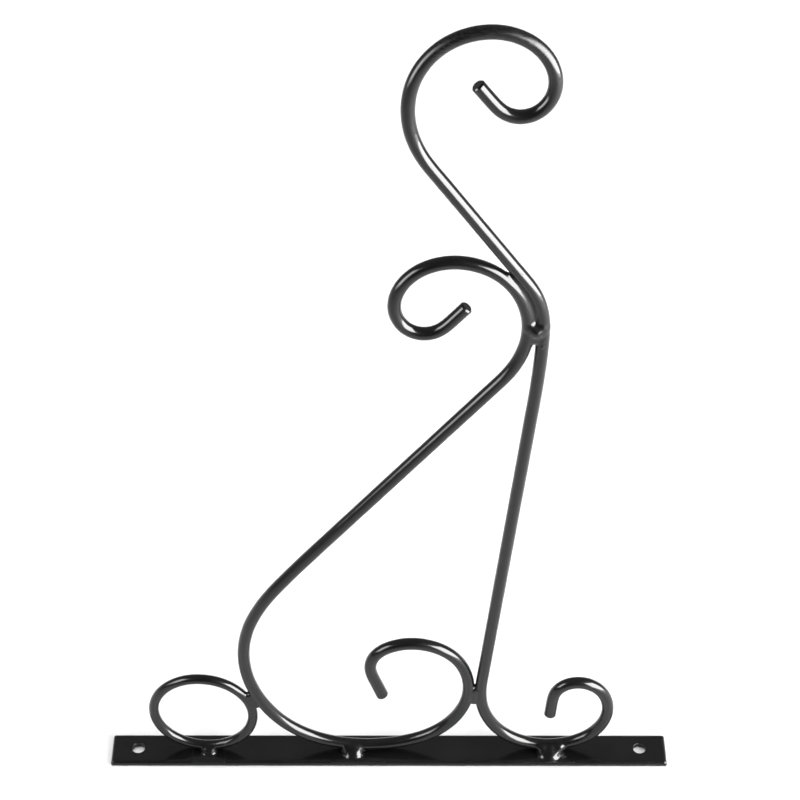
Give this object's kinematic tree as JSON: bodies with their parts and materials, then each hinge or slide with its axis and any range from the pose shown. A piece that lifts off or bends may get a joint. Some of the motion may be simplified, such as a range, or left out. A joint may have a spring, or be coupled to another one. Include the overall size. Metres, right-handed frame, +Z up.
{
  "type": "scroll display bracket",
  "caption": "Gloss black scroll bracket: flat base strip with screw holes, a small ring, and bent round-bar scrolls rising to an open hook.",
  "frame": {"origin": "middle of the base strip's underside", "axes": "+Z up from the strip to the hook, +X along the strip from the ring end to the foot curl end, +Y away from the side the welds are laid on"},
  "size_m": [0.3, 0.02, 0.4605],
  "materials": {
    "rod_enamel": "gloss",
    "strip_enamel": "gloss",
    "weld_enamel": "gloss"
  },
  "bodies": {
    "root": {"base_strip": "strip_enamel", "ring": "rod_enamel", "long_scroll": "rod_enamel", "hook_scroll": "rod_enamel", "ring_strip_weld": "weld_enamel", "long_scroll_strip_weld": "weld_enamel", "hook_scroll_strip_weld": "weld_enamel", "ring_scroll_weld": "weld_enamel", "lower_scroll_weld": "weld_enamel", "upper_scroll_weld": "weld_enamel"}
  },
  "joints": []
}
